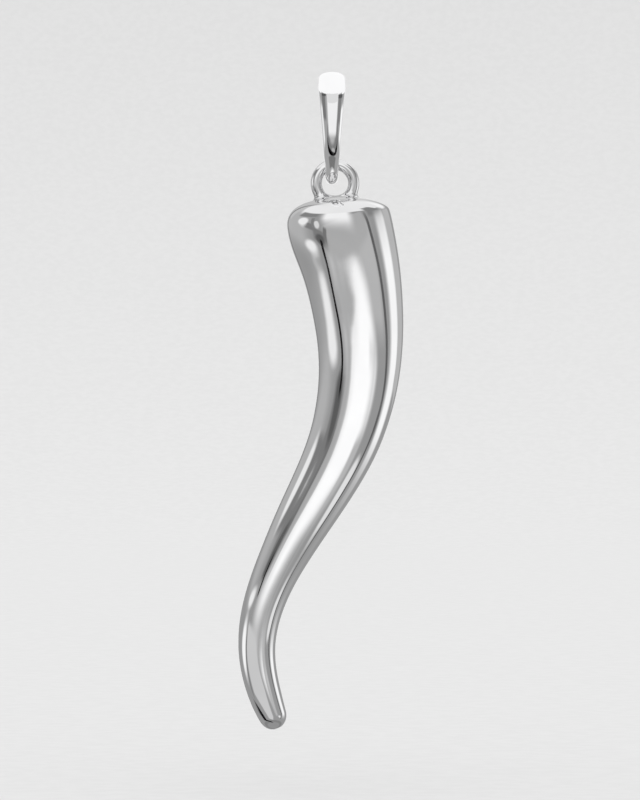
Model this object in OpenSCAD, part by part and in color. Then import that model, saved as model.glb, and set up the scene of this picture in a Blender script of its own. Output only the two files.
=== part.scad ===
// Cornicello horn pendant: a polished S-curved horn with a soldered loop,
// hanging from a tapered teardrop bail.
// The front faces -Y, +Z is up, and the origin is the inner top of the bail,
// where a chain bears.

/* [Horn] */
// Height of the middle of the cap, below the chain seat
cap_z = -7.12; // [-7.3:0.01:-7.05]
// Length of the horn from cap to tip, as a factor on its drawn length
horn_stretch = 1.0; // [0.9:0.01:1.1]
// Thickness of the horn, as a factor on its drawn radii
horn_girth = 1.0; // [0.9:0.01:1.1]
// Depth over which the cap rounds into the flank
cap_depth = 1.35; // [1.0:0.05:2.0]
// Squareness of the cap's rounding: 2 is an ellipse, more is boxier
cap_square = 2.5; // [2:0.1:4]
// Length over which the tip rounds off
tip_round = 0.78; // [0.5:0.01:1.0]
// Sides of the horn's oval sections
horn_sides = 44; // [24:4:64]

/* [Loop on the cap] */
// Sideways place of the loop's centre
loop_x = 0.2; // [0:0.05:0.4]
// Radius of the loop, from its centre to the middle of its wire
loop_r = 1.17; // [1.1:0.01:1.25]
// Radius of the loop's round wire
loop_wire = 0.35; // [0.3:0.01:0.36]
// Radius of the solder at each foot, where it meets the cap
foot_r = 0.45; // [0.38:0.01:0.5]
// Height of the solder above the middle of the cap
foot_h = 0.25; // [0.15:0.05:0.4]

/* [Bail] */
// Radius of the inside of the top, where the chain bears
seat_r = 1.0; // [0.8:0.05:1.2]
// Radius of the inside of the bottom turn, round the loop's wire
turn_r = 0.47; // [0.45:0.01:0.5]
// Height of the bottom turn's centre, which is the swing axis
turn_z = -5.05; // [-5.05:0.01:-5.04]
// Radius of the round wire at the bottom turn
turn_wire = 0.40; // [0.38:0.01:0.4]
// Half the angle of the top arch that keeps the full width
arch_half = 45; // [30:5:60]
// Radius of the gentle outward bow of the arms
arm_r = 9.0; // [8:0.5:14]

/* [Hidden] */

// The horn's sections, cap to tip, square to the centre line as seen from the
// front. The first radius is that of the flank carried up to the cap.
// Columns: drop below the cap, sideways place of the centre, radius seen from
// the front, place of the centre in depth, depth of the section over its width.
HORN = [
    [ 0.0,   0.27, 2.98,  0.00, 1.00],
    [ 1.7,   0.46, 3.29, -0.02, 1.03],
    [ 4.2,   1.18, 3.06, -0.10, 1.03],
    [ 7.8,   1.70, 2.78, -0.20, 0.985],
    [11.2,   1.69, 2.51, -0.22, 0.94],
    [14.6,   0.97, 2.26, -0.19, 0.915],
    [17.4,  -0.27, 2.00, -0.17, 0.91],
    [20.1,  -1.77, 1.76, -0.20, 0.915],
    [22.8,  -3.18, 1.46, -0.25, 0.94],
    [25.5,  -4.28, 1.28, -0.22, 0.965],
    [28.4,  -4.70, 1.14, -0.13, 0.985],
    [31.2,  -4.12, 1.03, -0.02, 0.99],
    [33.17, -3.34, 0.76,  0.07, 0.99]
];
DROP = 0; SIDE = 1; RAD = 2; BACK = 3; FLAT = 4;

// The bail's band, bottom to top.
// Columns: height of the section's middle, width, thickness,
// height of the domed outside, radius of the inner corners.
BAND = [
    [-5.20, 0.85, 0.85, 0.425, 0.415],
    [-4.50, 1.07, 0.81, 0.42,  0.30],
    [-3.00, 1.29, 0.77, 0.44,  0.20],
    [-0.80, 1.62, 0.75, 0.45,  0.15],
    [-0.30, 1.74, 0.75, 0.45,  0.15],
    [ 0.80, 1.74, 0.75, 0.45,  0.15]
];
WIDTH = 1; THICK = 2; DOME = 3; CORNER = 4;

rows = len(HORN);
horn_len = HORN[rows - 1][DROP];

// One column of the table, carried on in a straight line past both ends
function cell(i, k) =
    i < 0 ? 2 * HORN[0][k] - HORN[1][k] :
    i >= rows ? 2 * HORN[rows - 1][k] - HORN[rows - 2][k] : HORN[i][k];
// Control values of a smooth curve that passes the rows
function control(i, k) =
    i < 0 ? 2 * control(0, k) - control(1, k) :
    i >= rows ? 2 * control(rows - 1, k) - control(rows - 2, k) :
    cell(i, k) - (cell(i - 1, k) - 2 * cell(i, k) + cell(i + 1, k)) / 6;
CTL = [for (k = [DROP, SIDE, RAD, BACK, FLAT]) [for (i = [-1 : rows]) control(i, k)]];
// The curve's value, and its slope, at row number t
function curve(t, k) =
    let (i = min(max(floor(t), 0), rows - 2), u = t - i, c = CTL[k])
    (c[i] * pow(1 - u, 3) + c[i + 1] * (3 * u * u * u - 6 * u * u + 4)
     + c[i + 2] * (-3 * u * u * u + 3 * u * u + 3 * u + 1) + c[i + 3] * u * u * u) / 6;
function slope(t, k) =
    let (i = min(max(floor(t), 0), rows - 2), u = t - i, c = CTL[k])
    (-c[i] * pow(1 - u, 2) + c[i + 1] * (3 * u * u - 4 * u)
     + c[i + 2] * (-3 * u * u + 2 * u + 1) + c[i + 3] * u * u) / 2;
// Row number at a given drop, found by halving
function row_at(d, a = 0, b = rows - 1, n = 24) =
    n == 0 ? (a + b) / 2 :
    let (m = (a + b) / 2) curve(m, DROP) < d ? row_at(d, m, b, n - 1) : row_at(d, a, m, n - 1);

// Drops of the rings: closely spaced round the cap and the tip
cap_steps = 12;
body_steps = 44;
tip_steps = 7;
body_end = horn_len - tip_round;
RINGS = concat(
    [for (i = [1 : cap_steps]) let (a = 90 - 90 * i / cap_steps)
        [cap_depth * (1 - pow(sin(a), 2 / cap_square)), pow(cos(a), 2 / cap_square)]],
    [for (i = [1 : body_steps]) [cap_depth + (body_end - cap_depth) * i / body_steps, 1]],
    [for (i = [1 : tip_steps - 1]) let (a = 90 * i / tip_steps)
        [body_end + tip_round * sin(a), cos(a)]]
);

// A point of the horn: along the centre line by drop, out by radius, round by angle
function horn_point(d, r, a) =
    let (t = row_at(d), dx = slope(t, SIDE), dz = -slope(t, DROP) * horn_stretch,
         l = sqrt(dx * dx + dz * dz))
    [curve(t, SIDE) - dz / l * r * cos(a), curve(t, BACK) - r * curve(t, FLAT) * sin(a),
     cap_z - curve(t, DROP) * horn_stretch + dx / l * r * cos(a)];

module horn_body() {
    n = horn_sides;
    m = len(RINGS);
    ring_points = [for (ring = RINGS) let (r = curve(row_at(ring[0]), RAD) * ring[1] * horn_girth)
        for (j = [0 : n - 1]) horn_point(ring[0], r, 360 * j / n)];
    points = concat(ring_points, [horn_point(0, 0, 0), horn_point(horn_len, 0, 0)]);
    faces = concat(
        [for (j = [0 : n - 1]) [m * n, j, (j + 1) % n]],
        [for (i = [0 : m - 2]) for (j = [0 : n - 1]) [i * n + j, (i + 1) * n + j, i * n + (j + 1) % n]],
        [for (i = [0 : m - 2]) for (j = [0 : n - 1]) [i * n + (j + 1) % n, (i + 1) * n + j, (i + 1) * n + (j + 1) % n]],
        [for (j = [0 : n - 1]) [m * n + 1, (m - 1) * n + (j + 1) % n, (m - 1) * n + j]]
    );
    polyhedron(points = points, faces = faces, convexity = 4);
}

// The closed loop of round wire, its top turning in the bail's bottom turn
module loop() {
    translate([loop_x, 0, turn_z - loop_r])
        rotate([90, 0, 0])
            rotate_extrude($fn = 96) translate([loop_r, 0]) circle(r = loop_wire, $fn = 48);
}

// Solder that fills the corner between the loop's outside and the cap
module solder() {
    for (s = [-1, 1])
        translate([loop_x + s * (loop_r - 0.17), 0, cap_z - 0.2])
            cylinder(h = foot_h + 0.2, r1 = foot_r + 0.05, r2 = 0.26, $fn = 48);
}

module horn() {
    color([0.80, 0.80, 0.81]) union() {
        horn_body();
        loop();
        solder();
    }
}

// The arms run a hair inside the top arch, and a hair outside the wire of the
// bottom turn, so that one end always sits within the other.
skin = 0.012;
arm_turn_r = turn_r + turn_wire - BAND[0][THICK] / 2;
// Middle of an arm's bow, which is tangent to the top arch and the bottom turn,
// and the angles of its outward side at its two ends
arm_drop = -seat_r - turn_z;
arm_up = ((seat_r - arm_turn_r) * (2 * arm_r - seat_r - arm_turn_r) - arm_drop * arm_drop) / (2 * arm_drop);
arm_back = sqrt(pow(arm_r - seat_r, 2) - arm_up * arm_up);
arm_top = atan2(-arm_up, arm_back);
arm_low = atan2(-arm_drop - arm_up, arm_back);
SECTION_DOME = 12;
SECTION_CORNER = 5;
// Section of the band: across by out, its inner face flat, its outside domed
function section(w, t, dome, c, e = 0) = concat(
    [for (i = [0 : SECTION_DOME]) let (a = 180 * i / SECTION_DOME)
        [(w / 2 - e) * cos(a), t - dome + (dome - e) * sin(a)]],
    [for (i = [1 : SECTION_CORNER]) let (a = 180 + 90 * i / SECTION_CORNER)
        [c - w / 2 + (c - e) * cos(a), c + (c - e) * sin(a)]],
    [for (i = [0 : SECTION_CORNER - 1]) let (a = 270 + 90 * i / SECTION_CORNER)
        [w / 2 - c + (c - e) * cos(a), c + (c - e) * sin(a)]]
);
function column(k) = [for (b = BAND) [b[0], b[k]]];
function band(z, e = 0) = section(lookup(z, column(WIDTH)), lookup(z, column(THICK)),
    lookup(z, column(DOME)), lookup(z, column(CORNER)), e);

// Stations of one arm: inner point out and up, and angle of the outward side.
// The first lies a little way inside the top arch.
ARC_STEPS = 7;
LEG_STEPS = 12;
arc_start = 90 - arch_half;
STATIONS = concat(
    [for (i = [0 : ARC_STEPS]) let (b = arc_start + 3 - (arc_start + 3 - arm_top) * i / ARC_STEPS)
        [seat_r * cos(b), -seat_r + seat_r * sin(b), b]],
    [for (i = [1 : LEG_STEPS]) let (b = arm_top + (arm_low - arm_top) * i / LEG_STEPS)
        [arm_r * cos(b) - arm_back, -seat_r + arm_up + arm_r * sin(b), b]]
);

// One arm of the bail, from the top arch to the bottom turn
module arm() {
    n = len(band(0));
    m = len(STATIONS);
    middle = function (s) [0, s[0] + 0.4 * cos(s[2]), s[1] + 0.4 * sin(s[2])];
    points = concat([for (s = STATIONS) for (p = band(s[1] + 0.4 * sin(s[2]), skin))
        [p[0], s[0] + p[1] * cos(s[2]), s[1] + p[1] * sin(s[2])]],
        [middle(STATIONS[0]), middle(STATIONS[m - 1])]);
    faces = concat(
        [for (j = [0 : n - 1]) [m * n, (j + 1) % n, j]],
        [for (i = [0 : m - 2]) for (j = [0 : n - 1]) [i * n + j, i * n + (j + 1) % n, (i + 1) * n + j]],
        [for (i = [0 : m - 2]) for (j = [0 : n - 1]) [i * n + (j + 1) % n, (i + 1) * n + (j + 1) % n, (i + 1) * n + j]],
        [for (j = [0 : n - 1]) [m * n + 1, (m - 1) * n + j, (m - 1) * n + (j + 1) % n]]
    );
    polyhedron(points = points, faces = faces, convexity = 4);
}

// The top arch that the chain bears on
module arch() {
    translate([0, 0, -seat_r]) rotate([0, 90, 0]) rotate([0, 0, 180 - arch_half])
        rotate_extrude(angle = 2 * arch_half, $fn = 96)
            polygon([for (p = band(0)) [seat_r + p[1], p[0]]]);
}

// The bottom turn of round wire that the loop hangs in, let into both arms
module bottom_turn() {
    half = 90 + arm_low + 4;
    translate([0, 0, turn_z]) rotate([0, 90, 0]) rotate([0, 0, -half])
        rotate_extrude(angle = 2 * half, $fn = 96)
            translate([turn_r + turn_wire, 0]) circle(r = turn_wire, $fn = 48);
}

module bail() {
    color([0.83, 0.83, 0.84]) union() {
        arch();
        bottom_turn();
        arm();
        mirror([0, 1, 0]) arm();
    }
}

horn();
bail();
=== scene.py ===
import math

import bpy
import numpy as np
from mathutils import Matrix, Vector


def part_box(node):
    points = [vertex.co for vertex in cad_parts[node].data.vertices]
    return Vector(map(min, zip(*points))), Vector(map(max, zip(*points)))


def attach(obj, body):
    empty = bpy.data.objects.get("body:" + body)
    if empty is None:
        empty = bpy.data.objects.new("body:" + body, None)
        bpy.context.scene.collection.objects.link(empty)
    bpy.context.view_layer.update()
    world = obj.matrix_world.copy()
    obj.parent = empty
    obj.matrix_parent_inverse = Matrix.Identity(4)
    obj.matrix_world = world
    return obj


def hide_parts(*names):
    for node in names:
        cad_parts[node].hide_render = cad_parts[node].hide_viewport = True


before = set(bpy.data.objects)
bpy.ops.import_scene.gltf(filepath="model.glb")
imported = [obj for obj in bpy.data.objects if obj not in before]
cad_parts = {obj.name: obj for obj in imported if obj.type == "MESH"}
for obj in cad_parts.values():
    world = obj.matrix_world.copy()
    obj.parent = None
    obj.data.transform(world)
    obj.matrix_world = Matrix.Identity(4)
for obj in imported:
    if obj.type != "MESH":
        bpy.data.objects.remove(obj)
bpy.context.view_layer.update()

# The pendant hangs from the chain seat at the origin, front towards -Y, +Z up.
# Shapes are worked out in millimetres, as in the CAD, and made in metres.
MM = 0.001


# ------------------------------------------------------------------ horn form
# Drop below the cap, sideways place of the centre, radius seen from the front,
# place of the centre in depth, depth of the section over its width.
HORN = np.array([
    [0.0, 0.27, 2.98, 0.00, 1.00],
    [1.7, 0.46, 3.29, -0.02, 1.03],
    [4.2, 1.18, 3.06, -0.10, 1.03],
    [7.8, 1.70, 2.78, -0.20, 0.985],
    [11.2, 1.69, 2.51, -0.22, 0.94],
    [14.6, 0.97, 2.26, -0.19, 0.915],
    [17.4, -0.27, 2.00, -0.17, 0.91],
    [20.1, -1.77, 1.76, -0.20, 0.915],
    [22.8, -3.18, 1.46, -0.25, 0.94],
    [25.5, -4.28, 1.28, -0.22, 0.965],
    [28.4, -4.70, 1.14, -0.13, 0.985],
    [31.2, -4.12, 1.03, -0.02, 0.99],
    [33.17, -3.34, 0.76, 0.07, 0.99],
])
DROP, SIDE, RAD, BACK, FLAT = 0, 1, 2, 3, 4
CAP_Z = -7.12
CAP_DEPTH, CAP_POWER = 1.35, 2.5
TIP_ROUND, TIP_POWER = 0.78, 2.2
LOOP_X, LOOP_Z, LOOP_R, LOOP_WIRE = 0.2, -6.22, 1.17, 0.35
ROWS = len(HORN)
HORN_LEN = HORN[-1, DROP]
BODY_END = HORN_LEN - TIP_ROUND


def spline_controls(rows):
    """Control values of the cubic B-spline that follows the rows."""
    f = np.vstack([2 * rows[0] - rows[1], rows, 2 * rows[-1] - rows[-2]])
    c = rows - (f[:-2] - 2 * rows + f[2:]) / 6
    return np.vstack([2 * c[0] - c[1], c, 2 * c[-1] - c[-2]])


CTL = spline_controls(HORN)


def curve(t, k):
    """The spline at row number t, carried on straight past both ends."""
    tc = np.clip(t, 0, ROWS - 1)
    i = np.clip(np.floor(tc).astype(int), 0, ROWS - 2)
    u = tc - i
    c = CTL[:, k]
    value = (c[i] * (1 - u) ** 3 + c[i + 1] * (3 * u**3 - 6 * u**2 + 4)
             + c[i + 2] * (-3 * u**3 + 3 * u**2 + 3 * u + 1) + c[i + 3] * u**3) / 6
    return value + (t - tc) * slope(tc, k)


def slope(t, k):
    tc = np.clip(t, 0, ROWS - 1)
    i = np.clip(np.floor(tc).astype(int), 0, ROWS - 2)
    u = tc - i
    c = CTL[:, k]
    return (-c[i] * (1 - u) ** 2 + c[i + 1] * (3 * u**2 - 4 * u)
            + c[i + 2] * (-3 * u**2 + 2 * u + 1) + c[i + 3] * u**2) / 2


T_TABLE = np.linspace(-1.2, ROWS + 0.2, 1600)
DROP_TABLE = curve(T_TABLE, DROP)


def section_of(p):
    """Row number, drop, distance from the centre line and angle round it, for
    points p near the horn. Angle 0 is towards +X, 90 towards the front."""
    t = np.interp(CAP_Z - p[:, 2], DROP_TABLE, T_TABLE)
    for _ in range(4):
        ex, ez = p[:, 0] - curve(t, SIDE), p[:, 2] - (CAP_Z - curve(t, DROP))
        dx, dz = slope(t, SIDE), -slope(t, DROP)
        step = (ex * dx + ez * dz) / (dx * dx + dz * dz)
        t = np.clip(t + np.clip(step, -0.5, 0.5), -1.1, ROWS + 0.1)
    ex, ez = p[:, 0] - curve(t, SIDE), p[:, 2] - (CAP_Z - curve(t, DROP))
    dx, dz = slope(t, SIDE), -slope(t, DROP)
    length = np.sqrt(dx * dx + dz * dz)
    across = (-ex * dz + ez * dx) / length
    front = (curve(t, BACK) - p[:, 1]) / curve(t, FLAT)
    return t, curve(t, DROP), np.hypot(across, front), np.arctan2(front, across)


def waviness(drop, angle):
    """Hand polishing leaves a cast horn a little uneven: a slow wave of a few
    thousandths of a millimetre, and a shallow twist of a few hundredths in the
    left of the front. There is none at the cap and the tip."""
    w = (0.0008 * np.sin(1.15 * drop + 2.0 * angle + 0.6)
         + 0.0006 * np.sin(0.62 * drop - 3.0 * angle + 2.1)
         + 0.0004 * np.sin(1.90 * drop + 1.0 * angle + 4.0))
    fade = np.clip((drop - 0.8) / 2.5, 0, 1) * np.clip((BODY_END - drop) / 3.0, 0, 1)
    off = angle - math.radians(114)
    twist = np.exp(-((drop - 5.6) / 2.0) ** 2) - 0.55 * np.exp(-((drop - 10.6) / 2.3) ** 2)
    w = w + 0.012 * np.sin(4 * off) * np.exp(-(off / 0.5) ** 2) * twist
    return w * fade


def horn_body(p):
    """Below 0 inside the horn, above 0 outside."""
    t, drop, r, angle = section_of(p)
    q = r / curve(t, RAD) / (1 + waviness(drop, angle))
    cap = np.clip((CAP_DEPTH - drop) / CAP_DEPTH, 0, None)
    tip = np.clip((drop - BODY_END) / TIP_ROUND, 0, None)
    top = (cap**CAP_POWER + q**CAP_POWER) ** (1 / CAP_POWER)
    end = (tip**TIP_POWER + q**TIP_POWER) ** (1 / TIP_POWER)
    return np.where(drop < 8, top, end) - 1


def gradient(f, p, h=0.004):
    g = np.empty_like(p)
    for k in range(3):
        e = np.zeros(3)
        e[k] = h
        g[:, k] = (f(p + e) - f(p - e)) / (2 * h)
    return g


def horn_distance(p):
    f = horn_body(p)
    g = np.linalg.norm(gradient(horn_body, p), axis=1)
    return f / np.maximum(g, 0.05)


def loop_distance(p):
    q = np.hypot(p[:, 0] - LOOP_X, p[:, 2] - LOOP_Z) - LOOP_R
    return np.hypot(q, p[:, 1]) - LOOP_WIRE


SOLDER = 0.42   # how far the solder runs into the corner, mm


def horn_form(p):
    """The horn and its loop, run together by the solder. Below 0 inside."""
    out = np.empty(len(p))
    b = loop_distance(p)
    near = b < 0.8
    out[~near] = horn_body(p[~near])
    if near.any():
        an, b = horn_distance(p[near]), b[near]
        h = np.clip(SOLDER - np.abs(an - b), 0, None) / SOLDER
        out[near] = np.minimum(an, b) - h * h * SOLDER / 4
    return out


# ------------------------------------------------------------- mesh building
def new_object(name, points, faces, normals=None):
    """A smooth-shaded mesh object from points in metres."""
    mesh = bpy.data.meshes.new(name)
    mesh.from_pydata(points.tolist(), [], faces)
    mesh.update()
    mesh.polygons.foreach_set("use_smooth", [True] * len(mesh.polygons))
    if normals is not None:
        mesh.normals_split_custom_set_from_vertices(normals.tolist())
    obj = bpy.data.objects.new(name, mesh)
    bpy.context.scene.collection.objects.link(obj)
    return obj


def tube_faces(rings, sides, closed=False):
    """Quads of a grid of rings; round the rings, and along them if closed."""
    f = []
    for i in range(rings if closed else rings - 1):
        a, b = i * sides, ((i + 1) % rings) * sides
        for j in range(sides):
            k = (j + 1) % sides
            f.append((a + j, b + j, b + k, a + k))
    return f


def horn_rough():
    """A closed grid of the horn and one of the loop, to be run into one skin."""
    sides = 96
    a = np.linspace(0, 2 * math.pi, sides, endpoint=False)
    drops, factors = [], []
    for q in np.linspace(0, 1, 17)[1:]:
        w = math.pi / 2 * (1 - q)
        drops.append(CAP_DEPTH * (1 - math.sin(w) ** (2 / CAP_POWER)))
        factors.append(math.cos(w) ** (2 / CAP_POWER))
    for d in np.linspace(CAP_DEPTH, BODY_END, 150)[1:]:
        drops.append(d)
        factors.append(1.0)
    for q in np.linspace(0, 1, 11)[1:-1]:
        w = math.pi / 2 * q
        drops.append(BODY_END + TIP_ROUND * math.sin(w) ** (2 / TIP_POWER))
        factors.append(math.cos(w) ** (2 / TIP_POWER))
    points = []
    for d, f in zip(drops, factors):
        t = np.full(1, np.interp(d, DROP_TABLE, T_TABLE))
        dx, dz = slope(t, SIDE)[0], -slope(t, DROP)[0]
        n = math.hypot(dx, dz)
        r = curve(t, RAD)[0] * f
        points.append(np.stack([curve(t, SIDE)[0] - dz / n * r * np.cos(a),
                                curve(t, BACK)[0] - r * curve(t, FLAT)[0] * np.sin(a),
                                CAP_Z - d + dx / n * r * np.cos(a)], 1))
    rings = len(points)
    points = np.vstack(points)
    top = np.array([[HORN[0, SIDE], HORN[0, BACK], CAP_Z]])
    tip = np.array([[HORN[-1, SIDE], HORN[-1, BACK], CAP_Z - HORN_LEN]])
    faces = tube_faces(rings, sides)
    m = rings * sides
    faces += [(m, j, (j + 1) % sides) for j in range(sides)]
    faces += [(m + 1, m - sides + (j + 1) % sides, m - sides + j) for j in range(sides)]
    points = np.vstack([points, top, tip])

    around, sides2 = 128, 40
    u = np.linspace(0, 2 * math.pi, around, endpoint=False)[:, None]
    v = np.linspace(0, 2 * math.pi, sides2, endpoint=False)[None, :]
    wire = LOOP_WIRE + 0.01
    ring = np.stack([(LOOP_X + (LOOP_R + wire * np.cos(v)) * np.cos(u)),
                     wire * np.sin(v) + 0 * u,
                     (LOOP_Z + (LOOP_R + wire * np.cos(v)) * np.sin(u))], 2).reshape(-1, 3)
    base = len(points)
    faces += [tuple(base + i for i in f) for f in tube_faces(around, sides2, closed=True)]
    return np.vstack([points, ring]), faces


def remeshed(points, faces, voxel):
    """One even skin round closed shells that overlap. Millimetres in and out."""
    mesh = bpy.data.meshes.new("rough")
    mesh.from_pydata(points.tolist(), [], faces)
    mesh.update()
    obj = bpy.data.objects.new("rough", mesh)
    bpy.context.scene.collection.objects.link(obj)
    mod = obj.modifiers.new("skin", "REMESH")
    mod.mode = "VOXEL"
    mod.voxel_size = voxel
    mod.adaptivity = 0.0
    dg = bpy.context.evaluated_depsgraph_get()
    out = bpy.data.meshes.new_from_object(obj.evaluated_get(dg))
    p = np.empty(len(out.vertices) * 3)
    out.vertices.foreach_get("co", p)
    f = [tuple(q.vertices) for q in out.polygons]
    bpy.data.objects.remove(obj)
    bpy.data.meshes.remove(mesh)
    bpy.data.meshes.remove(out)
    return p.reshape(-1, 3), f


def relaxed(p, faces, times):
    """Evens out the spacing of the points."""
    e = np.array([(f[i], f[(i + 1) % len(f)]) for f in faces for i in range(len(f))])
    count = np.bincount(e[:, 0], minlength=len(p)).astype(float)
    for _ in range(times):
        mean = np.stack([np.bincount(e[:, 0], weights=p[e[:, 1], k], minlength=len(p))
                         for k in range(3)], 1) / count[:, None]
        p = p + 0.5 * (mean - p)
    return p


def onto(form, p, steps):
    """Moves points straight onto the surface where form is 0."""
    for _ in range(steps):
        g = gradient(form, p)
        n2 = np.maximum((g * g).sum(1), 0.05)
        move = -form(p)[:, None] * g / n2[:, None]
        size = np.linalg.norm(move, axis=1, keepdims=True)
        p = p + move * np.minimum(1, 0.06 / np.maximum(size, 1e-9))
    return p


def make_horn():
    voxel = 0.085
    p, faces = remeshed(*horn_rough(), voxel)
    p = onto(horn_form, p, 3)
    p = onto(horn_form, relaxed(p, faces, 3), 2)
    n = gradient(horn_form, p)
    n /= np.linalg.norm(n, axis=1, keepdims=True)
    # never outside the CAD's own box
    box_lo, box_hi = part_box("horn")
    p = np.clip(p * MM, np.array(box_lo), np.array(box_hi))
    return new_object("horn_polished", p, faces, n)


# ---------------------------------------------------------------- bail form
SEAT_R, TURN_R, TURN_Z, ARM_R = 1.0, 0.47, -5.05, 9.0
# Height of the section's middle, width, thickness, height of the domed
# outside, radius of the inner corners.
BAND = np.array([
    [-5.60, 0.80, 0.80, 0.40, 0.40],
    [-5.15, 0.82, 0.80, 0.40, 0.38],
    [-4.50, 1.05, 0.80, 0.41, 0.28],
    [-3.00, 1.27, 0.76, 0.43, 0.18],
    [-0.80, 1.62, 0.75, 0.44, 0.14],
    [-0.30, 1.74, 0.75, 0.44, 0.14],
    [0.80, 1.74, 0.75, 0.44, 0.14],
])


def smoothed(v, width, closed=True):
    """Running mean with a soft window, width in samples."""
    n = int(width * 3)
    k = np.exp(-0.5 * (np.arange(-n, n + 1) / width) ** 2)
    k /= k.sum()
    ext = np.concatenate([v[-n:], v, v[:n]]) if closed else np.pad(v, n, mode="edge")
    return np.convolve(ext, k, mode="valid")


def make_bail():
    # the arms bow outwards a little, tangent to the top arch and the bottom turn
    drop = -SEAT_R - TURN_Z
    up = ((SEAT_R - TURN_R) * (2 * ARM_R - SEAT_R - TURN_R) - drop * drop) / (2 * drop)
    back = math.sqrt((ARM_R - SEAT_R) ** 2 - up * up)
    top, low = math.atan2(-up, back), math.atan2(-drop - up, back)
    # curvature of the inner path, from the inner top down the front and round
    parts = [(1 / SEAT_R, SEAT_R * (math.pi / 2 - top)), (1 / ARM_R, ARM_R * (top - low)),
             (1 / TURN_R, TURN_R * (math.pi / 2 + low))]
    half = sum(length for _, length in parts)
    n = 1200
    s = (np.arange(n) + 0.5) / n * half
    bend = np.zeros(n)
    at = 0
    for k, length in parts:
        bend[(s >= at) & (s < at + length)] = k
        at += length
    bend = np.concatenate([bend, bend[::-1]])
    step = half / n
    bend = smoothed(bend, 0.13 / step)
    bend *= 2 * math.pi / (bend.sum() * step)
    turn = np.cumsum(bend) * step - bend * step / 2
    y = np.cumsum(-np.cos(turn)) * step
    z = np.cumsum(-np.sin(turn)) * step
    at = np.arange(2 * n) / (2 * n)
    y -= at * y[-1]
    z -= at * z[-1]
    # outwards from the path
    oy, oz = -np.sin(turn), np.cos(turn)
    z -= z.max()
    y -= (y.max() + y.min()) / 2
    mid = z + oz * 0.4
    cols = [smoothed(np.interp(mid, BAND[:, 0], BAND[:, k]), 0.16 / step) for k in range(1, 5)]
    pick = np.linspace(0, 2 * n, 300, endpoint=False).astype(int)
    rings = []
    dome_n, side_n, corner_n, flat_n = 30, 3, 8, 8
    for i in pick:
        w, t, dome, c = [col[i] for col in cols]
        c = min(c, w / 2 - 0.002)
        side = t - dome - c
        a = np.linspace(0, math.pi, dome_n + 1)
        px = list(w / 2 * np.cos(a))
        py = list(t - dome + dome * np.sin(a))
        for q in range(1, side_n):
            px.append(-w / 2)
            py.append(t - dome - side * q / side_n)
        a = np.linspace(math.pi, 1.5 * math.pi, corner_n + 1)
        px += list(c - w / 2 + c * np.cos(a))
        py += list(c + c * np.sin(a))
        for q in range(1, flat_n):
            px.append((c - w / 2) + (w - 2 * c) * q / flat_n)
            py.append(0.0)
        a = np.linspace(1.5 * math.pi, 2 * math.pi, corner_n + 1)
        px += list(w / 2 - c + c * np.cos(a))
        py += list(c + c * np.sin(a))
        for q in range(1, side_n):
            px.append(w / 2)
            py.append(c + side * q / side_n)
        px, py = np.array(px), np.array(py)
        rings.append(np.stack([px, y[i] + oy[i] * py, z[i] + oz[i] * py], 1))
    sides = len(rings[0])
    points = np.vstack(rings) * MM
    # turned over, so that they face outwards
    faces = [f[::-1] for f in tube_faces(len(rings), sides, closed=True)]
    obj = new_object("bail_polished", points, faces)
    return obj


# ----------------------------------------------------------------- materials
class Nodes:
    """Short ways to add and join shader nodes."""

    def __init__(self, tree):
        self.tree = tree
        tree.nodes.clear()

    def add(self, kind, **inputs):
        node = self.tree.nodes.new(kind)
        for key, value in inputs.items():
            self.put(node.inputs[key.replace("_", " ")], value)
        return node

    def put(self, socket, value):
        if hasattr(value, "is_output"):
            self.tree.links.new(value, socket)
        else:
            socket.default_value = value

    def math(self, op, a, b=None, c=None, clamp=False):
        node = self.tree.nodes.new("ShaderNodeMath")
        node.operation = op
        node.use_clamp = clamp
        for i, v in enumerate((a, b, c)):
            if v is not None:
                self.put(node.inputs[i], v)
        return node.outputs[0]

    def ramp(self, value, a, b, lo=0.0, hi=1.0):
        """Soft step of value from a to b, between lo and hi."""
        node = self.tree.nodes.new("ShaderNodeMapRange")
        node.interpolation_type = "SMOOTHSTEP"
        for i, v in enumerate((value, a, b, lo, hi)):
            self.put(node.inputs[i], v)
        return node.outputs[0]

    def noise(self, vector, scale, detail=2.0, rough=0.5):
        node = self.add("ShaderNodeTexNoise", Vector=vector, Scale=scale, Detail=detail, Roughness=rough)
        return node.outputs[0]


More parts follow.
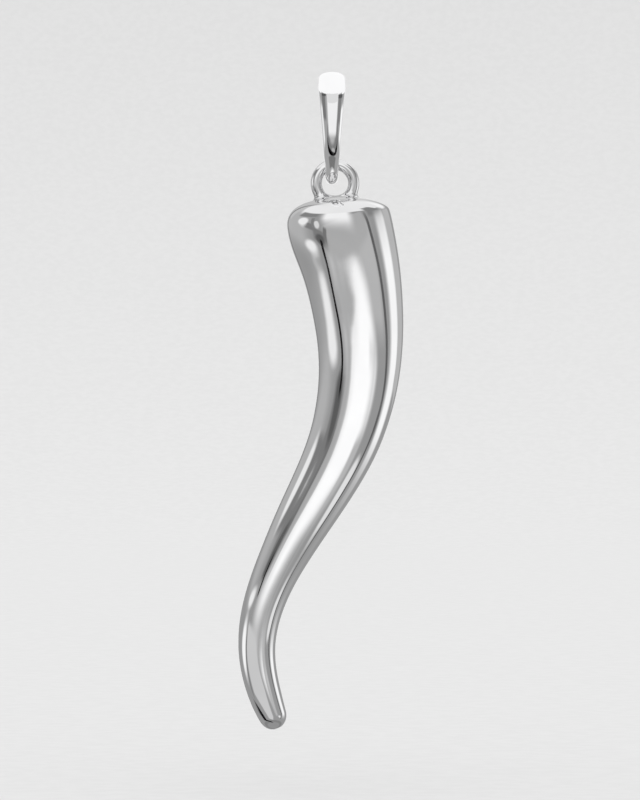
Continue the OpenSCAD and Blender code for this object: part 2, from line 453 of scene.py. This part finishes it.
def silver(name, base, crevices):
    """Mirror-polished silver: faint haze, hairlines from the polishing cloth, a
    slight tone change, and painted shade in corners: patchy darker colour, rougher silver."""
    mat = bpy.data.materials.new(name)
    mat.use_nodes = True
    n = Nodes(mat.node_tree)
    place = n.add("ShaderNodeTexCoord").outputs["Object"]

    haze = n.noise(place, 420.0, 3.0, 0.55)          # patches of 2 to 3 mm
    corner_shade_patches = n.noise(place, 1500.0, 2.0, 0.5)
    # hairlines: noise drawn out along the piece
    stretch = n.add("ShaderNodeMapping", Vector=place)
    stretch.inputs["Scale"].default_value = (1.0, 1.0, 0.06)
    stretch.inputs["Rotation"].default_value = (0.05, 0.22, 0.0)
    hair = n.noise(stretch.outputs[0], 16000.0, 2.0, 0.6)

    # painted shade in the given corners: the colour darkens there in patches, and the silver is rougher
    mask = None
    for centre, radius in crevices:
        gap = n.tree.nodes.new("ShaderNodeVectorMath")
        gap.operation = "DISTANCE"
        n.put(gap.inputs[0], place)
        gap.inputs[1].default_value = [v * MM for v in centre]
        m = n.ramp(gap.outputs["Value"], radius * MM, radius * 0.25 * MM)
        mask = m if mask is None else n.math("MAXIMUM", mask, m)
    painted_corner_shade = n.math("MULTIPLY", mask, n.ramp(corner_shade_patches, 0.30, 0.62))

    tone = n.ramp(haze, 0.30, 0.70, 0.965, 1.0)
    # painted shade: the colour is up to 35% darker in the corners
    tone = n.math("MULTIPLY", tone, n.math("SUBTRACT", 1.0, n.math("MULTIPLY", painted_corner_shade, 0.35)))
    colour = n.tree.nodes.new("ShaderNodeCombineColor")
    for i, v in enumerate(base):
        n.put(colour.inputs[i], n.math("MULTIPLY", tone, v))

    rough = n.ramp(haze, 0.35, 0.75, 0.035, 0.075)
    rough = n.math("ADD", rough, n.math("MULTIPLY", n.ramp(hair, 0.58, 0.78), 0.05))
    rough = n.math("ADD", rough, n.math("MULTIPLY", painted_corner_shade, 0.22))

    bump1 = n.add("ShaderNodeBump", Height=n.noise(place, 900.0, 1.5, 0.4), Strength=1.0, Distance=0.0000022)
    bump2 = n.add("ShaderNodeBump", Height=hair, Strength=1.0, Distance=0.00000012,
                  Normal=bump1.outputs[0])

    bsdf = n.add("ShaderNodeBsdfPrincipled", Metallic=1.0, Roughness=rough, Normal=bump2.outputs[0])
    n.put(bsdf.inputs["Base Color"], colour.outputs[0])
    out = n.add("ShaderNodeOutputMaterial")
    n.put(out.inputs["Surface"], bsdf.outputs[0])
    mat.diffuse_color = (*base, 1.0)
    mat.metallic = 1.0
    mat.roughness = 0.06
    return mat


# the corners given painted shade: round the loop's foot on the cap, and inside the bail's lower bend
HORN_SILVER = silver("horn_silver", (0.86, 0.86, 0.865),
                     [((-0.95, 0, -7.05), 0.75), ((1.35, 0, -7.05), 0.75), ((0.2, 0, -7.1), 1.0)])
BAIL_SILVER = silver("bail_silver", (0.87, 0.87, 0.875),
                     [((0.0, 0, -5.05), 0.75), ((0.0, 0, -5.6), 0.5)])

for node, mat in (("horn", HORN_SILVER), ("bail", BAIL_SILVER)):
    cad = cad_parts[node]
    cad.data.materials.clear()
    cad.data.materials.append(mat)

horn = make_horn()
horn.data.materials.append(HORN_SILVER)
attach(horn, "horn")
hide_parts("horn")

bail = make_bail()
bail.data.materials.append(BAIL_SILVER)
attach(bail, "bail")
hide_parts("bail")

# --------------------------------------------------------------------- studio
# Pale floor that curves up into a pale wall all round, so it has no horizon.
FLOOR_Z = -0.0440


def make_floor():
    profile = [(0.0, 0.0), (0.2, 0.0), (0.45, 0.0)]
    for a in np.linspace(0, math.pi / 2, 13)[1:]:
        profile.append((0.45 + 0.35 * math.sin(a), 0.35 * (1 - math.cos(a))))
    profile.append((0.8, 1.1))
    sides = 96
    a = np.linspace(0, 2 * math.pi, sides, endpoint=False)
    rings = [np.stack([r * np.cos(a), r * np.sin(a), np.full(sides, FLOOR_Z + h)], 1)
             for r, h in profile[1:]]
    points = np.vstack(rings + [np.array([[0, 0, FLOOR_Z]])])
    faces = tube_faces(len(rings), sides)
    faces += [(len(points) - 1, j, (j + 1) % sides) for j in range(sides)]
    obj = new_object("floor", points, faces)
    mat = bpy.data.materials.new("floor")
    mat.use_nodes = True
    n = Nodes(mat.node_tree)
    place = n.add("ShaderNodeTexCoord").outputs["Object"]
    grain = n.ramp(n.noise(place, 700.0, 3.0), 0.3, 0.7, 0.655, 0.675)
    colour = n.tree.nodes.new("ShaderNodeCombineColor")
    for i in range(3):
        n.put(colour.inputs[i], grain)
    bsdf = n.add("ShaderNodeBsdfPrincipled", Roughness=0.9)
    n.put(bsdf.inputs["Base Color"], colour.outputs[0])
    n.put(bsdf.inputs["Specular IOR Level"], 0.0)
    out = n.add("ShaderNodeOutputMaterial")
    n.put(out.inputs["Surface"], bsdf.outputs[0])
    obj.data.materials.append(mat)
    # the silver mirrors the lights and cards round it, not this floor
    obj.visible_glossy = False
    obj.visible_diffuse = False
    obj.visible_shadow = False
    return obj


make_floor()

# Light tents round the pendant, which the silver mirrors: white cards and soft
# lights, with grey and dark flags between them. The camera looks in through
# them. The horn with its loop has one tent and the bail has its own, so each is
# lit as a jeweller's photographer would light it. Each row is a soft-edged patch
# of the tent's wall, over the rows before it. Places are seen from the middle of
# the tent, in degrees: 0 across is towards the viewer and + to the right, + up
# is above the middle.
TENT_Z = -0.020
HORN_WALL, BAIL_WALL = 0.58, 0.62
HORN_TENT = [
    # shape, name, brightness, across, up, turn, half length, half width, softness
    ("bar", "back card", 0.96, 187, 67, 3, 65, 28, 0.4),
    ("bar", "upper right card", 0.70, 44, 14, 2, 21, 15, 0.7),
    ("bar", "back left card", 0.68, -133, 28, -17, 58, 23, 0.6),
    ("bar", "left flag", 0.48, -72, 12, -8, 14, 3.5, 0.8),
    ("bar", "front left flag", 0.48, -44, 1.5, -10, 19, 6, 0.4),
    ("oval", "left strip light", 0.92, -78, -5.5, -3, 15, 3.5, 0.9),
    ("oval", "main light, spill", 0.90, -1, -12, 2, 39, 14, 0.85),
    ("oval", "main light", 1.00, 20, -11, -18, 25, 17, 0.8),
    ("bar", "grey card over the main light", 0.66, 9, 18, 20, 48, 13, 0.25),
    ("bar", "high front card", 0.95, -10, 52, 5, 32, 31, 0.65),
    ("bar", "upper left gap", 0.50, -82, 44, 0, 28, 7, 0.4),
    ("oval", "upper left light", 0.92, -88, 22, 0, 15, 11, 0.5),
    ("bar", "upper left flag", 0.50, -61, 21, 0, 4, 10, 0.5),
    ("oval", "small upper left light", 0.84, -52, 15, 0, 6, 5, 0.6),
    ("bar", "overhead card", 0.91, 0, 90, 0, 200, 38, 0.12),
    ("bar", "upper back left card", 0.73, -160, 44, -14, 26, 14, 0.3),
    ("bar", "upper right gap", 0.50, 88, 50, 0, 21, 16, 0.4),
    ("bar", "low right card", 0.71, 35, -20, 6, 8, 14, 0.9),
    ("bar", "right flag", 0.36, 70, 7, 22, 3, 31, 0.8),
    ("bar", "right light", 0.97, 102, -1, 96, 33, 15, 0.9),
    ("bar", "back right card", 0.70, 130, 12, -3, 14, 21, 0.15),
    ("oval", "low right light", 0.88, 61, -37, -8, 12, 6, 0.6),
    ("bar", "low right flag", 0.36, 75.5, -32, -12, 3, 15, 0.6),
    ("oval", "low left light", 0.97, -88, -24, 27, 16, 11, 0.8),
    ("bar", "low front card", 0.78, -31, -37, -12, 37, 14, 0.2),
    ("bar", "main light, core", 1.00, 10, -14, -2, 29, 7, 0.9),
    ("bar", "grey flag", 0.45, -37, 5.5, -16, 3.5, 7, 0.7),
    ("oval", "wide dark flag", 0.36, -50, 0, 0, 9, 4, 0.7),
    ("bar", "narrow dark flag", 0.12, -49, -5, -10, 2.5, 4, 0.5),
    ("bar", "low flag all round", 0.50, 0, -65, 0, 200, 6, 0.8),
    ("bar", "lower left flag", 0.48, -75, -32, -31, 3, 14, 0.6),
    ("bar", "low left flag", 0.08, -45, -61.5, -16, 48, 3, 0.5),
    ("bar", "white table", 0.56, 0, -90, 0, 200, 20, 0.6),
    ("oval", "back light", 0.88, 176, -10, 0, 12, 45, 0.7),
    ("bar", "back flag", 0.46, -155, 0, 0, 3, 54, 0.7),
]
BAIL_TENT = [
    ("bar", "back card", 0.86, 180, 32, 0, 70, 24, 0.4),
    ("bar", "overhead card, left", 0.98, -60, 62, 6, 75, 23, 0.05),
    ("bar", "overhead card, right", 0.98, 60, 62, -6, 75, 25.5, 0.05),
    ("bar", "overhead card", 0.98, 0, 90, 0, 200, 46, 0.05),
    ("oval", "low light", 0.97, 15, -58, 5, 65, 32, 0.5),
    ("bar", "left card", 0.92, -84, 17, 0, 16, 9, 0.6),
    ("bar", "right card", 0.99, 90, 17, 0, 18, 8, 0.6),
    ("bar", "left flag", 0.46, -54, 30, 0, 15, 11, 0.4),
    ("bar", "left notch", 0.34, -50, 38, 6, 17, 2.5, 0.4),
    ("bar", "right flag", 0.50, 50, 28, 0, 15, 12, 0.4),
    ("bar", "right notch", 0.34, 54, 35, -6, 19, 2.5, 0.4),
    ("oval", "dark front flag", 0.02, 8, 4, 0, 50, 13.5, 0.12),
    ("oval", "dim end of the front card", 0.48, 8, 8.5, 0, 46, 12.5, 0.2),
    ("oval", "rim of the front card", 0.68, 16, -3, 0, 20, 2, 0.8),
    ("oval", "lower end of the front card", 0.70, 4.5, 9, 0, 22, 7, 0.9),
    ("bar", "front card", 0.94, 4.5, 26, 0, 31, 16.5, 0.35),
    ("bar", "upper front card", 0.86, 4, 38, 0, 28, 5.5, 0.1),
    ("bar", "low grey card", 0.46, 5, -16, 0, 46, 6.5, 0.3),
    ("oval", "back light", 0.92, 180, 0, 0, 30, 40, 0.6),
]
SILVER_GAIN = 0.86


def make_tent(name, radius, wall, rows, lights):
    """A tent's wall: a ball of faces whose light comes from the rows and falls
    on one piece. It can be seen through, so that one tent can stand in another."""
    rings, sides = 32, 64
    points, faces = [(0, 0, radius)], []
    for i in range(1, rings):
        e = math.pi * i / rings
        for j in range(sides):
            a = 2 * math.pi * j / sides
            points.append((radius * math.sin(e) * math.cos(a), radius * math.sin(e) * math.sin(a),
                           radius * math.cos(e)))
    points.append((0, 0, -radius))
    for j in range(sides):
        faces.append((0, 1 + j, 1 + (j + 1) % sides))
        last = 1 + (rings - 2) * sides
        faces.append((len(points) - 1, last + (j + 1) % sides, last + j))
    faces += [tuple(1 + v for v in f) for f in tube_faces(rings - 1, sides)]
    obj = new_object(name, np.array(points), faces)
    obj.location = (0, 0, TENT_Z)

    mat = bpy.data.materials.new(name)
    mat.use_nodes = True
    mat.cycles.emission_sampling = "NONE"
    n = Nodes(mat.node_tree)
    unit = n.tree.nodes.new("ShaderNodeVectorMath")
    unit.operation = "NORMALIZE"
    n.put(unit.inputs[0], n.add("ShaderNodeTexCoord").outputs["Object"])
    x, y, z = n.add("ShaderNodeSeparateXYZ", Vector=unit.outputs[0]).outputs
    up = n.math("MULTIPLY", n.math("ARCSINE", z), 180 / math.pi)
    across = n.math("MULTIPLY", n.math("ARCTAN2", x, n.math("MULTIPLY", y, -1.0)), 180 / math.pi)
    value = wall
    for shape, _, v, at, height, turn, long, wide, soft in rows:
        du = n.math("WRAP", n.math("SUBTRACT", across, at), 180.0, -180.0)
        dv = n.math("SUBTRACT", up, height)
        c, s = math.cos(math.radians(turn)), math.sin(math.radians(turn))
        u = n.math("MULTIPLY_ADD", du, c / long, n.math("MULTIPLY", dv, s / long))
        w = n.math("MULTIPLY_ADD", dv, c / wide, n.math("MULTIPLY", du, -s / wide))
        if shape == "oval":
            far = n.math("SQRT", n.math("ADD", n.math("MULTIPLY", u, u), n.math("MULTIPLY", w, w)))
            mask = n.ramp(far, 1 - soft / 2, 1 + soft / 2, 1.0, 0.0)
        else:
            mask = n.math("MULTIPLY",
                          n.ramp(n.math("ABSOLUTE", u), 1 - soft / 2, 1 + soft / 2, 1.0, 0.0),
                          n.ramp(n.math("ABSOLUTE", w), 1 - soft / 2, 1 + soft / 2, 1.0, 0.0))
        # value + mask * (v - value)
        value = n.math("MULTIPLY_ADD", mask, n.math("SUBTRACT", v, value), value)
    light = n.math("DIVIDE", n.math("POWER", value, 2.2), SILVER_GAIN)
    tint = n.tree.nodes.new("ShaderNodeCombineColor")
    for i in range(3):
        n.put(tint.inputs[i], light)
    glow = n.add("ShaderNodeEmission", Strength=1.0)
    n.put(glow.inputs["Color"], tint.outputs[0])
    both = n.tree.nodes.new("ShaderNodeAddShader")
    n.put(both.inputs[0], glow.outputs[0])
    n.put(both.inputs[1], n.tree.nodes.new("ShaderNodeBsdfTransparent").outputs[0])
    out = n.add("ShaderNodeOutputMaterial")
    n.put(out.inputs["Surface"], both.outputs[0])
    obj.data.materials.append(mat)
    obj.visible_camera = False
    obj.visible_diffuse = False
    obj.visible_shadow = False
    obj.visible_transmission = False
    obj.visible_volume_scatter = False
    lit = bpy.data.collections.new("lit_by_" + name)
    lit.objects.link(lights)
    obj.light_linking.receiver_collection = lit


make_tent("horn_tent", 0.0500, HORN_WALL, HORN_TENT, horn)
make_tent("bail_tent", 0.0502, BAIL_WALL, BAIL_TENT, bail)


def make_world():
    """Plain soft light on the floor and wall, a little brighter from above."""
    world = bpy.data.worlds.new("studio")
    bpy.context.scene.world = world
    world.use_nodes = True
    n = Nodes(world.node_tree)
    z = n.add("ShaderNodeSeparateXYZ", Vector=n.add("ShaderNodeTexCoord").outputs["Generated"]).outputs[2]
    light = n.ramp(z, -0.4, 0.9, 0.80, 1.30)
    tint = n.tree.nodes.new("ShaderNodeCombineColor")
    for i in range(3):
        n.put(tint.inputs[i], light)
    studio = n.add("ShaderNodeBackground", Strength=1.0)
    n.put(studio.inputs["Color"], tint.outputs[0])
    out = n.add("ShaderNodeOutputWorld")
    n.put(out.inputs["Surface"], studio.outputs[0])
    world.cycles_visibility.glossy = False


make_world()

# --------------------------------------------------------------------- camera
# The photograph looks straight along +Y, from far off: 50 mm of height fill it.
CENTRE = Vector((-0.0007375, 0.0, -0.0197625))
lens = bpy.data.cameras.new("camera")
lens.lens = 200.0
lens.sensor_width = 36.0
lens.clip_start, lens.clip_end = 0.01, 5.0
camera = bpy.data.objects.new("camera", lens)
bpy.context.scene.collection.objects.link(camera)
camera.location = CENTRE + Vector((0, -0.050 * 200.0 / 36.0, 0))
camera.rotation_euler = (math.pi / 2, 0, 0)
bpy.context.scene.camera = camera

view = bpy.context.scene.view_settings
view.view_transform = "Standard"
view.look = "None"
view.exposure = 0.0
view.gamma = 1.0
